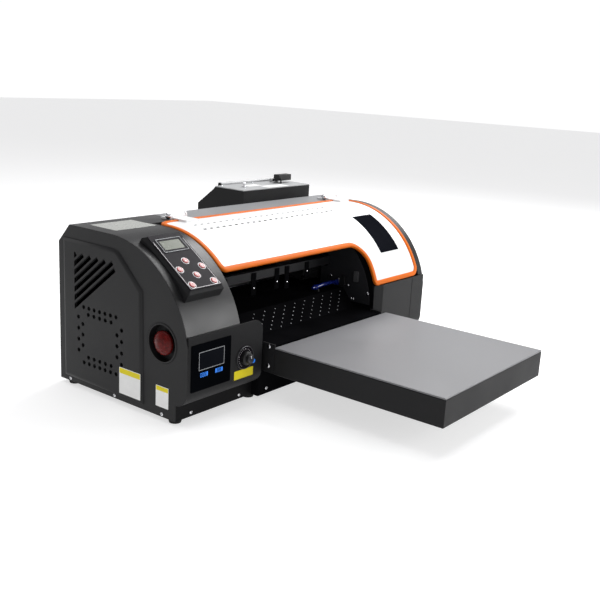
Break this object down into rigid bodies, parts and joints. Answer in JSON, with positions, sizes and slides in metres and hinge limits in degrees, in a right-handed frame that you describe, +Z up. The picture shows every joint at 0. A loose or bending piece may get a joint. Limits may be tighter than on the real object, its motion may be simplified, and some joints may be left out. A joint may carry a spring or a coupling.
{
  "type": "desktop film printer",
  "caption": "Wide desktop printer with two curved casing pods, a hinged wrap-over cover, a bolted front platform and a rear ink box; cover, print carriage, rollers and controls move.",
  "frame": {"origin": "on the floor, under the middle of the outer box", "axes": "+X to the machine's right as seen from the front, +Y to the rear, +Z up; the front platform points along -Y"},
  "size_m": [0.783, 0.876, 0.359],
  "materials": {
    "charcoal_coat": "fine textured powder coat, charcoal",
    "inner_coat": "matt black paint",
    "deck_coat": "satin light grey powder coat",
    "white_coat": "gloss white paint",
    "orange_trim": "satin orange edge trim",
    "window_tint": "dark tinted sheet",
    "platform_coat": "light grey satin coat",
    "heater": "matt silicone mat",
    "bright_steel": "bright plated",
    "display_glass": "black gloss panel",
    "silver_ring": "turned, satin",
    "dark_plastic": "moulded, fine grain",
    "faceplate_film": "semi-gloss membrane film",
    "lcd": "unlit green-grey screen",
    "foot_rubber": "moulded black rubber",
    "ink_plastic": "translucent moulded bottle",
    "zinc_case": "plated sheet steel",
    "board": "green solder mask",
    "motor_black": "black painted motor case",
    "belt_rubber": "black rubber",
    "roller_steel": "ground steel",
    "pulley_brass": "turned brass",
    "red_plastic": "gloss red"
  },
  "bodies": {
    "root": {"base_tray": "charcoal_coat", "left_side_panel": "charcoal_coat", "right_side_panel": "charcoal_coat", "left_pod_skin": "charcoal_coat", "right_pod_skin": "charcoal_coat", "inner_walls": "inner_coat", "left_fascia": "charcoal_coat", "right_fascia": "charcoal_coat", "front_skirts": "charcoal_coat", "lower_front_panel": "inner_coat", "rear_panel": "charcoal_coat", "top_deck": "deck_coat", "front_guide_plate": "inner_coat", "film_platen": "inner_coat", "platform_tray": "charcoal_coat", "platform_plate": "platform_coat", "heater_mat": "heater", "platform_arms": "charcoal_coat", "carriage_rails": "bright_steel", "display_panel": "display_glass", "knob_ring": "silver_ring", "control_housing": "dark_plastic", "control_faceplate": "faceplate_film", "control_lcd": "lcd", "button_cup": "dark_plastic", "feet": "foot_rubber", "case_screws": "bright_steel", "hinge_brackets": "white_coat", "hinge_pins": "bright_steel", "ink_box": "charcoal_coat", "ink_bottles": "ink_plastic", "fan_frame": "dark_plastic", "power_supply": "zinc_case", "main_board": "board", "power_inlet": "dark_plastic", "carriage_motor": "motor_black", "feed_motor": "motor_black", "capping_station": "dark_plastic", "timing_belt": "belt_rubber"},
    "cover": {"cover_skin": "white_coat", "cover_trim": "orange_trim", "cover_window": "window_tint"},
    "carriage": {"carriage": "dark_plastic", "print_head": "zinc_case"},
    "drive_pulley": {"drive_pulley": "pulley_brass"},
    "idler_pulley": {"idler_pulley": "pulley_brass"},
    "feed_roller": {"feed_roller": "roller_steel"},
    "pinch_rollers": {"pinch_rollers": "belt_rubber"},
    "key_1": {"key_1": "red_plastic"},
    "key_2": {"key_2": "red_plastic"},
    "key_3": {"key_3": "red_plastic"},
    "key_4": {"key_4": "red_plastic"},
    "key_5": {"key_5": "red_plastic"},
    "key_6": {"key_6": "red_plastic"},
    "stop_button": {"stop_button": "red_plastic"},
    "knob": {"knob": "dark_plastic"},
    "ink_lid": {"ink_lid": "deck_coat"},
    "latch_lever": {"latch_lever": "dark_plastic"},
    "fan_rotor": {"fan_rotor": "dark_plastic"},
    "rocker_switch": {"rocker_switch": "red_plastic"}
  },
  "joints": [
    {"name": "cover_hinge", "type": "hinge", "parent": "root", "child": "cover", "pos_m": [0.0875, 0.195, 0.3215], "axis": [-1, 0, 0], "range_deg": [0, 75]},
    {"name": "carriage_slide", "type": "slide", "parent": "root", "child": "carriage", "axis": [1, 0, 0], "range_m": [-0.37, 0.14]},
    {"name": "drive_pulley_spin", "type": "hinge", "parent": "root", "child": "drive_pulley", "pos_m": [0.3655, 0.252, 0.225], "axis": [0, 0, 1], "continuous": true},
    {"name": "idler_pulley_spin", "type": "hinge", "parent": "root", "child": "idler_pulley", "pos_m": [-0.2305, 0.252, 0.225], "axis": [0, 0, 1], "continuous": true},
    {"name": "feed_spin", "type": "hinge", "parent": "root", "child": "feed_roller", "pos_m": [0.0005, 0.202, 0.141], "axis": [1, 0, 0], "continuous": true},
    {"name": "pinch_spin", "type": "hinge", "parent": "root", "child": "pinch_rollers", "pos_m": [0.0005, 0.202, 0.1572], "axis": [1, 0, 0], "continuous": true},
    {"name": "stop_press", "type": "slide", "parent": "root", "child": "stop_button", "axis": [1, 0, 0], "range_m": [0, 0.004], "stiffness_N_per_m": 800},
    {"name": "knob_turn", "type": "hinge", "parent": "root", "child": "knob", "pos_m": [-0.238, -0.06, 0.101], "axis": [0, -1, 0], "range_deg": [-150, 150]},
    {"name": "ink_lid_hinge", "type": "hinge", "parent": "root", "child": "ink_lid", "pos_m": [0.2555, 0.388, 0.34], "axis": [-1, 0, 0], "range_deg": [0, 100]},
    {"name": "latch_turn", "type": "hinge", "parent": "ink_lid", "child": "latch_lever", "pos_m": [0.3295, 0.366, 0.343], "axis": [-1, 0, 0], "range_deg": [0, 85]},
    {"name": "fan_spin", "type": "hinge", "parent": "root", "child": "fan_rotor", "pos_m": [-0.3685, 0.175, 0.11], "axis": [1, 0, 0], "continuous": true},
    {"name": "rocker_tilt", "type": "hinge", "parent": "root", "child": "rocker_switch", "pos_m": [-0.3305, 0.284, 0.045], "axis": [1, 0, 0], "range_deg": [0, 20]},
    {"name": "key_1_press", "type": "slide", "parent": "root", "child": "key_1", "axis": [0, 0.5635, -0.8261], "range_m": [0, 0.0008], "stiffness_N_per_m": 400},
    {"name": "key_2_press", "type": "slide", "parent": "root", "child": "key_2", "axis": [0, 0.5635, -0.8261], "range_m": [0, 0.0008], "stiffness_N_per_m": 400},
    {"name": "key_3_press", "type": "slide", "parent": "root", "child": "key_3", "axis": [0, 0.5635, -0.8261], "range_m": [0, 0.0008], "stiffness_N_per_m": 400},
    {"name": "key_4_press", "type": "slide", "parent": "root", "child": "key_4", "axis": [0, 0.5635, -0.8261], "range_m": [0, 0.0008], "stiffness_N_per_m": 400},
    {"name": "key_5_press", "type": "slide", "parent": "root", "child": "key_5", "axis": [0, 0.5635, -0.8261], "range_m": [0, 0.0008], "stiffness_N_per_m": 400},
    {"name": "key_6_press", "type": "slide", "parent": "root", "child": "key_6", "axis": [0, 0.5635, -0.8261], "range_m": [0, 0.0008], "stiffness_N_per_m": 400}
  ],
  "couplings": [
    {"joint": "drive_pulley_spin", "follows": "carriage_slide", "rad_per_m": 113.64},
    {"joint": "idler_pulley_spin", "follows": "carriage_slide", "rad_per_m": 113.64},
    {"joint": "pinch_spin", "follows": "feed_spin", "ratio": -1.3846}
  ]
}
